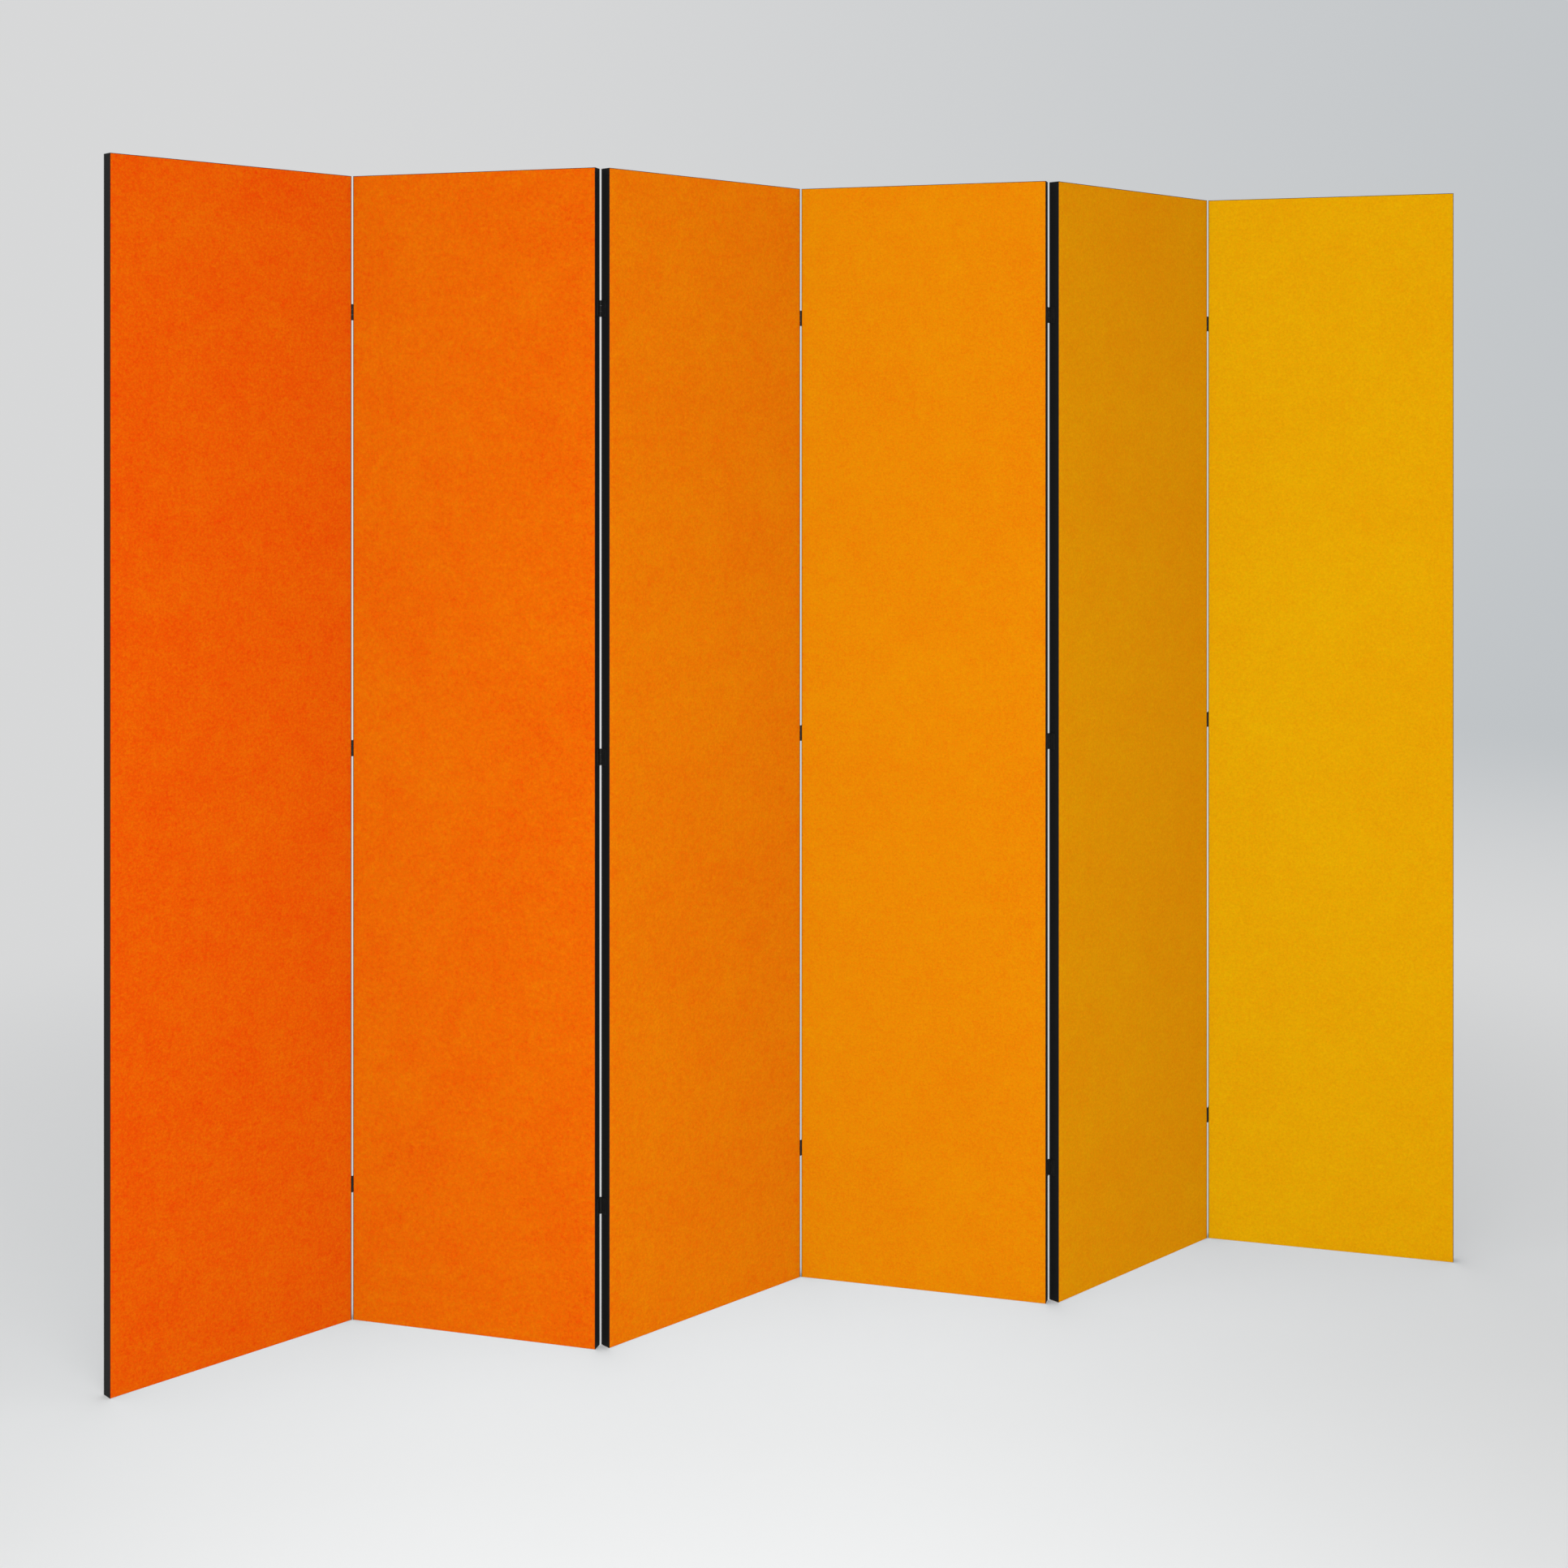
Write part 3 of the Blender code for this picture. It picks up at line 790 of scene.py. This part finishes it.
def floor_material(colours):
    """A pale matte floor with painted shade to the sides, at the front and under the key light, painted
    light behind the screen, and far away a painted glow in the wall's shade, so that no horizon shows.
    """
    finish = Finish("studio_floor", Specular_IOR_Level=0.1, Roughness=0.9)
    place = finish.place()
    x, y, _ = finish.parts(place)
    away = (x * x + y * y).power(0.5)
    across = x * DIM_SIDE[0] + y * DIM_SIDE[1]
    sideways = across / away.at_least(0.1)
    wall = finish.mix(WALL_LEFT, WALL_RIGHT, sideways.step(*WALL_TURNS))
    wall = finish.mix(WALL_LEFT, wall, away.step(*FLOOR_TO_WALL_SHADE))
    dust = finish.noise(place, DUST_SIZE, 4.0, 0.6)
    near = finish.mix(colours.floor, scaled(colours.floor, DUST_SHADE), dust)
    # Painted shade: the floor is darkened to the right, to the left, at the front and under the key light.
    painted_shade = across.step(*PAINTED_SHADE_RIGHT) * PAINTED_SHADE_RIGHT_SHARE + (across * -1).step(*PAINTED_SHADE_LEFT) * PAINTED_SHADE_LEFT_SHARE
    painted_shade = painted_shade + (y * -1).step(*PAINTED_SHADE_FRONT) * PAINTED_SHADE_FRONT_SHARE
    painted_shade = painted_shade + (y * -1).step(*PAINTED_SHADE_UNDER_KEY) * PAINTED_SHADE_UNDER_KEY_SHARE
    # Painted light: the floor behind the screen is mixed towards white.
    near = finish.mix(near, WHITE, y.step(*PAINTED_LIGHT_BACK) * PAINTED_LIGHT_BACK_SHARE)
    finish.feed(Base_Color=finish.mix(near, BLACK, painted_shade))
    # Painted glow: far out the floor gives off the wall's shade as light instead of being lit.
    glow = finish.node("ShaderNodeEmission", None, {"Color": wall})
    blend = finish.node("ShaderNodeMixShader", None, {0: away.step(*FLOOR_TO_GLOW)})
    finish.link(finish.shader.outputs[0], blend.inputs[1])
    finish.link(glow.outputs[0], blend.inputs[2])
    finish.link(blend.outputs[0], finish.tree.nodes["Material Output"].inputs["Surface"])
    return finish.material


def add_floor(colours):
    """A disc under the screen: rings whose radius doubles outwards, round the origin."""
    radii = FLOOR_RADIUS / 2.0 ** np.arange(FLOOR_RINGS - 1, -1, -1)
    angle = np.arange(FLOOR_SIDES) / FLOOR_SIDES * 2 * math.pi
    x, y = radii[:, None] * np.cos(angle), radii[:, None] * np.sin(angle)
    points = np.concatenate([np.stack([x, y, 0 * x], -1).reshape(-1, 3), np.zeros((1, 3))])
    index = np.arange(x.size).reshape(x.shape)
    index = np.concatenate([index, index[:, :1]], 1)
    faces = grid_faces(np.concatenate([np.full((1, FLOOR_SIDES + 1), x.size), index]))[:, ::-1]
    mesh = bpy.data.meshes.new("studio_floor")
    mesh.from_pydata(points.tolist(), [], [tuple(dict.fromkeys(face)) for face in faces.tolist()])
    mesh.materials.append(floor_material(colours))
    made = bpy.data.objects.new("studio_floor", mesh)
    bpy.context.scene.collection.objects.link(made)


def add_light(name, place, target, size, power, spread=math.pi):
    """A soft light of this width and height that looks at its target."""
    light = bpy.data.lights.new(name, "AREA")
    light.shape = "RECTANGLE"
    light.size, light.size_y = size
    light.energy = power
    light.spread = spread
    made = bpy.data.objects.new(name, light)
    made.location = place
    made.rotation_euler = (Vector(target) - Vector(place)).to_track_quat("-Z", "Y").to_euler()
    made.visible_camera = False
    bpy.context.scene.collection.objects.link(made)


def hide_from_bounces():
    """Keeps the dyed faces and what is behind them out of bounced light, so that the floor stays neutral."""
    for panel in PANELS:
        for name in ("frame", "core", "front_felt_sheet", "back_felt_sheet"):
            bpy.data.objects[f"panel_{panel}_{name}"].visible_diffuse = False


def add_camera(stage):
    """The camera, level, with its window shifted down to the screen."""
    made = bpy.data.objects.new("camera", bpy.data.cameras.new("camera"))
    made.location = stage.camera_place
    made.rotation_euler = (math.pi / 2, 0, stage.camera_turn)
    made.data.lens = stage.camera_lens
    made.data.sensor_width = SENSOR_WIDTH
    made.data.shift_y = stage.camera_shift
    bpy.context.scene.collection.objects.link(made)
    bpy.context.scene.camera = made


# ------------------------------------------------------------------------------------- the operators


def finish_nodes(names, material):
    """Gives CAD nodes this material in every slot."""
    for name in names:
        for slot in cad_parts[name].material_slots:
            slot.material = material


class SCREEN_OT_timber(bpy.types.Operator):
    """Gives the panel frames their wood"""

    bl_idname = "screen.timber"
    bl_label = "Timber Frames"

    def execute(self, context):
        settings = context.scene.folding_screen
        for panel in PANELS:
            node = f"panel_{panel}_frame"
            low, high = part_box(node)
            axes = PanelAxes(panel)
            made = timber_material(f"timber_{panel}", axes.lean, low.z, high.z, settings.colours)
            finish_nodes([node], made)
        return {"FINISHED"}


class SCREEN_OT_infill(bpy.types.Operator):
    """Gives the infill boards their pressed fibre"""

    bl_idname = "screen.infill"
    bl_label = "Infill Boards"

    def execute(self, context):
        made = infill_material(context.scene.folding_screen.colours)
        finish_nodes([f"panel_{panel}_core" for panel in PANELS], made)
        return {"FINISHED"}


class SCREEN_OT_edge_bands(bpy.types.Operator):
    """Gives the edge bands their matte black"""

    bl_idname = "screen.edge_bands"
    bl_label = "Edge Bands"

    def execute(self, context):
        made = band_material(context.scene.folding_screen.colours)
        finish_nodes([f"panel_{panel}_edge_band" for panel in PANELS], made)
        return {"FINISHED"}


class SCREEN_OT_hinges(bpy.types.Operator):
    """Paints the hinge leaves"""

    bl_idname = "screen.hinges"
    bl_label = "Hinge Leaves"

    def execute(self, context):
        made = hinge_material(context.scene.folding_screen.colours)
        finish_nodes([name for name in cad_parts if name.startswith("hinge_")], made)
        return {"FINISHED"}


class SCREEN_OT_felts(bpy.types.Operator):
    """Makes the twelve felt sheets"""

    bl_idname = "screen.felts"
    bl_label = "Felt Sheets"

    def execute(self, context):
        settings = context.scene.folding_screen
        random = np.random.default_rng(settings.stage.seed)
        for panel in PANELS:
            material = felt_material(f"felt_{panel}_wool", getattr(settings.colours, f"felt_{panel}"))
            for side in ("front", "back"):
                add_felt(panel, side, settings.sizes, material, random)
        return {"FINISHED"}


class SCREEN_OT_screws(bpy.types.Operator):
    """Makes the hinge screws of every panel"""

    bl_idname = "screen.screws"
    bl_label = "Hinge Screws"

    def execute(self, context):
        settings = context.scene.folding_screen
        random = np.random.default_rng(settings.stage.seed + 1)
        material = screw_material()
        for panel in PANELS:
            add_screws(panel, settings.sizes, material, random)
        return {"FINISHED"}


class SCREEN_OT_stage(bpy.types.Operator):
    """Sets up the studio: wall, floor, lights and camera"""

    bl_idname = "screen.stage"
    bl_label = "Studio"

    def execute(self, context):
        settings = context.scene.folding_screen
        stage = settings.stage
        add_world()
        add_floor(settings.colours)
        add_light("key_light", *KEY_LIGHT, stage.key_power)
        add_light("fill_light", *FILL_LIGHT, stage.fill_power)
        add_light("top_light", *TOP_LIGHT, stage.top_power, TOP_LIGHT_SPREAD)
        hide_from_bounces()
        add_camera(stage)
        context.scene.view_settings.view_transform = "Standard"
        return {"FINISHED"}


class SCREEN_PT_sidebar(bpy.types.Panel):
    """Lists the steps that make the screen"""

    bl_label = "Folding Screen"
    bl_idname = "SCREEN_PT_sidebar"
    bl_space_type = "VIEW_3D"
    bl_region_type = "UI"
    bl_category = "Folding Screen"

    def draw(self, context):
        for step in STEPS:
            self.layout.operator(step.bl_idname)
        settings = context.scene.folding_screen
        for group in (settings.sizes, settings.colours, settings.stage):
            column = self.layout.box().column()
            for name in group.__annotations__:
                column.prop(group, name)


class ScreenSettings(bpy.types.PropertyGroup):
    """Everything that a user would change."""

    sizes: PointerProperty(type=ScreenSizes)
    colours: PointerProperty(type=ScreenColours)
    stage: PointerProperty(type=ScreenStage)


GROUPS = (ScreenSizes, ScreenColours, ScreenStage, ScreenSettings)
STEPS = (
    SCREEN_OT_timber,
    SCREEN_OT_infill,
    SCREEN_OT_edge_bands,
    SCREEN_OT_hinges,
    SCREEN_OT_felts,
    SCREEN_OT_screws,
    SCREEN_OT_stage,
)


def register():
    for item in (*GROUPS, *STEPS, SCREEN_PT_sidebar):
        bpy.utils.register_class(item)
    bpy.types.Scene.folding_screen = PointerProperty(type=ScreenSettings)


def unregister():
    del bpy.types.Scene.folding_screen
    for item in (SCREEN_PT_sidebar, *reversed(STEPS), *reversed(GROUPS)):
        bpy.utils.unregister_class(item)


def main():
    """Makes the whole screen."""
    register()
    bpy.ops.screen.timber()
    bpy.ops.screen.infill()
    bpy.ops.screen.edge_bands()
    bpy.ops.screen.hinges()
    bpy.ops.screen.felts()
    bpy.ops.screen.screws()
    bpy.ops.screen.stage()


if __name__ == "__main__":
    main()
